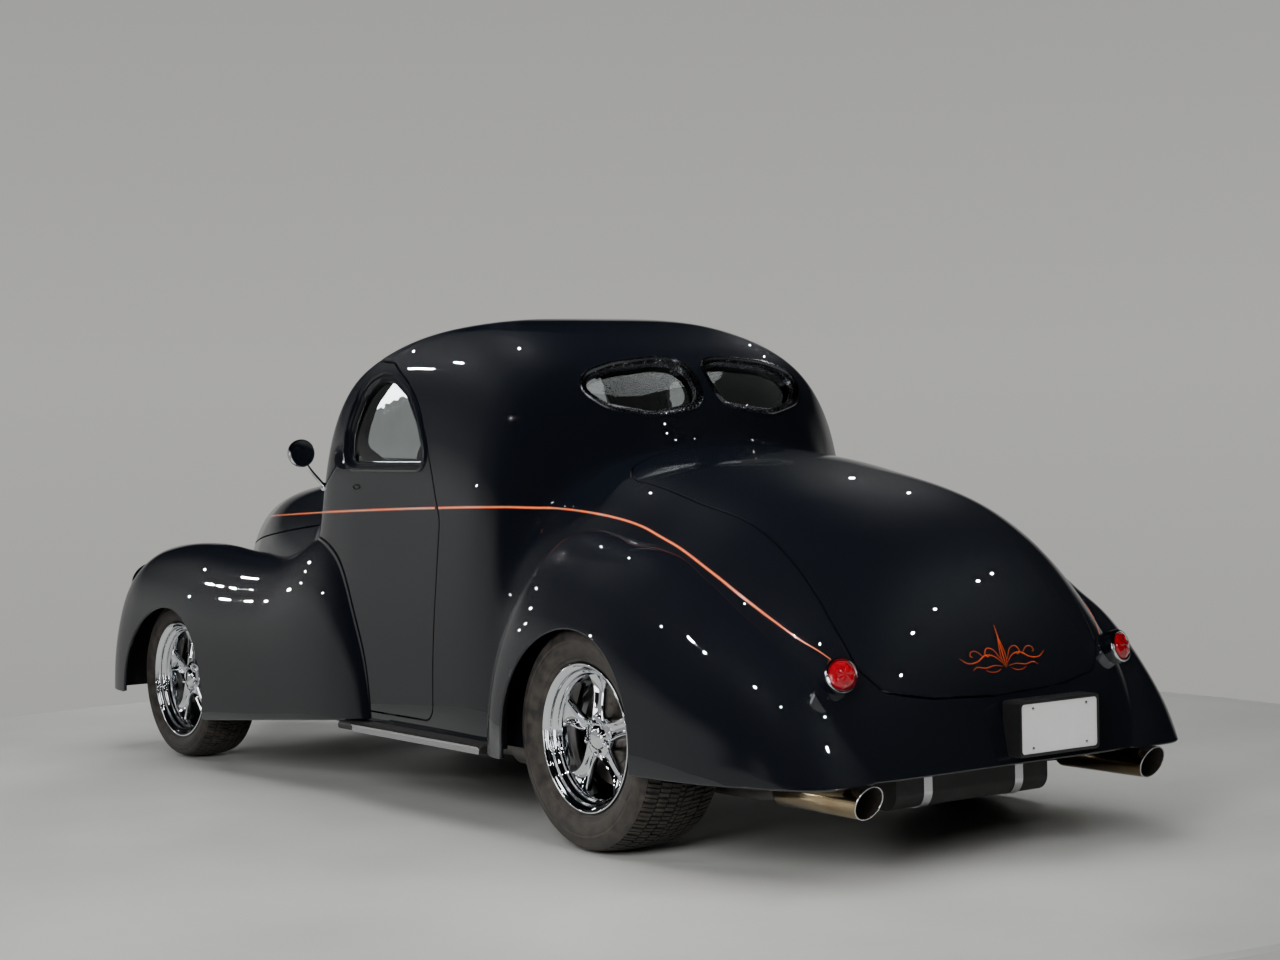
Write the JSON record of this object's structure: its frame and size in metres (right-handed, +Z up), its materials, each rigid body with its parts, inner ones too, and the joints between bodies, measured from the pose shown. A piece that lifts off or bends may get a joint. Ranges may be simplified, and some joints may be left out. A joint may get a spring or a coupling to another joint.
{
  "type": "street rod coupe",
  "caption": "Closed two-door street rod coupe on staggered chrome wheels, with opening doors, hood and trunk lid, steered front wheels and rolling wheels.",
  "frame": {"origin": "on the ground under the middle of the whole car", "axes": "+X towards the nose, +Y towards the driver's left, +Z up"},
  "size_m": [4.258, 1.686, 1.5298],
  "materials": {
    "gloss_black_paint": "deep gloss black with clear coat",
    "satin_chassis_black": "satin black chassis paint",
    "chrome_plate": "bright chrome",
    "tyre_rubber": "matt black rubber with blank side walls",
    "board_rubber": "ribbed black rubber with a polished edge",
    "tinted_glass": "lightly tinted clear glass",
    "black_trim": "matt black trim",
    "black_leather": "black leather with pleats",
    "engine_grey": "painted cast iron",
    "polished_stainless": "polished stainless steel with a warm tint",
    "tank_black": "satin black",
    "red_lens": "red lens in a chrome bezel",
    "clear_lens": "clear lens in a bright ring",
    "plate_white": "blank white plate in a dark frame"
  },
  "bodies": {
    "chassis": {"body_shell": "gloss_black_paint", "dashboard": "black_trim", "driveline": "engine_grey", "engine_block": "engine_grey", "exhausts": "polished_stainless", "floor_pan": "black_trim", "frame": "satin_chassis_black", "front_fender_left": "gloss_black_paint", "front_fender_right": "gloss_black_paint", "front_suspension": "satin_chassis_black", "fuel_tank": "tank_black", "grille": "chrome_plate", "head_lamps": "clear_lens", "licence_plate": "plate_white", "nose_shell": "gloss_black_paint", "radiator": "tank_black", "rear_axle": "satin_chassis_black", "rear_fender_left": "gloss_black_paint", "rear_fender_right": "gloss_black_paint", "rear_windows": "tinted_glass", "running_boards": "board_rubber", "seat_back": "black_leather", "seat_cushion": "black_leather", "steering_wheel": "black_trim", "tail_lamps": "red_lens", "tank_straps": "polished_stainless", "windshield": "tinted_glass"},
    "door_left": {"door_left": "gloss_black_paint", "door_glass_left": "tinted_glass", "mirror_left": "chrome_plate"},
    "door_right": {"door_right": "gloss_black_paint", "door_glass_right": "tinted_glass", "mirror_right": "chrome_plate"},
    "hood": {"hood": "gloss_black_paint"},
    "trunk_lid": {"trunk_lid": "gloss_black_paint"},
    "knuckle_left": {"knuckle_left": "satin_chassis_black"},
    "knuckle_right": {"knuckle_right": "satin_chassis_black"},
    "wheel_front_left": {"front_rim_left": "chrome_plate", "front_tyre_left": "tyre_rubber"},
    "wheel_front_right": {"front_rim_right": "chrome_plate", "front_tyre_right": "tyre_rubber"},
    "wheel_rear_left": {"rear_rim_left": "chrome_plate", "rear_tyre_left": "tyre_rubber"},
    "wheel_rear_right": {"rear_rim_right": "chrome_plate", "rear_tyre_right": "tyre_rubber"}
  },
  "joints": [
    {"name": "steer_left", "type": "hinge", "parent": "chassis", "child": "knuckle_left", "pos_m": [1.441, 0.56, 0.286], "axis": [0, 0, 1], "range_deg": [-30, 30]},
    {"name": "steer_right", "type": "hinge", "parent": "chassis", "child": "knuckle_right", "pos_m": [1.441, -0.56, 0.286], "axis": [0, 0, 1], "range_deg": [-30, 30]},
    {"name": "roll_front_left", "type": "hinge", "parent": "knuckle_left", "child": "wheel_front_left", "pos_m": [1.441, 0.655, 0.286], "axis": [0, 1, 0], "continuous": true},
    {"name": "roll_front_right", "type": "hinge", "parent": "knuckle_right", "child": "wheel_front_right", "pos_m": [1.441, -0.655, 0.286], "axis": [0, 1, 0], "continuous": true},
    {"name": "roll_rear_left", "type": "hinge", "parent": "chassis", "child": "wheel_rear_left", "pos_m": [-1.201, 0.645, 0.32], "axis": [0, 1, 0], "continuous": true},
    {"name": "roll_rear_right", "type": "hinge", "parent": "chassis", "child": "wheel_rear_right", "pos_m": [-1.201, -0.645, 0.32], "axis": [0, 1, 0], "continuous": true},
    {"name": "swing_door_left", "type": "hinge", "parent": "chassis", "child": "door_left", "pos_m": [-0.337, 0.733, 0.6], "axis": [0, 0, 1], "range_deg": [0, 65]},
    {"name": "swing_door_right", "type": "hinge", "parent": "chassis", "child": "door_right", "pos_m": [-0.337, -0.733, 0.6], "axis": [0, 0, -1], "range_deg": [0, 65]},
    {"name": "lift_hood", "type": "hinge", "parent": "chassis", "child": "hood", "pos_m": [0.566, 0, 1.04], "axis": [0, -1, 0], "range_deg": [0, 50]},
    {"name": "lift_trunk_lid", "type": "hinge", "parent": "chassis", "child": "trunk_lid", "pos_m": [-0.868, 0, 1.125], "axis": [0, 1, 0], "range_deg": [0, 60]}
  ],
  "couplings": [
    {"joint": "steer_right", "follows": "steer_left", "ratio": 1}
  ]
}
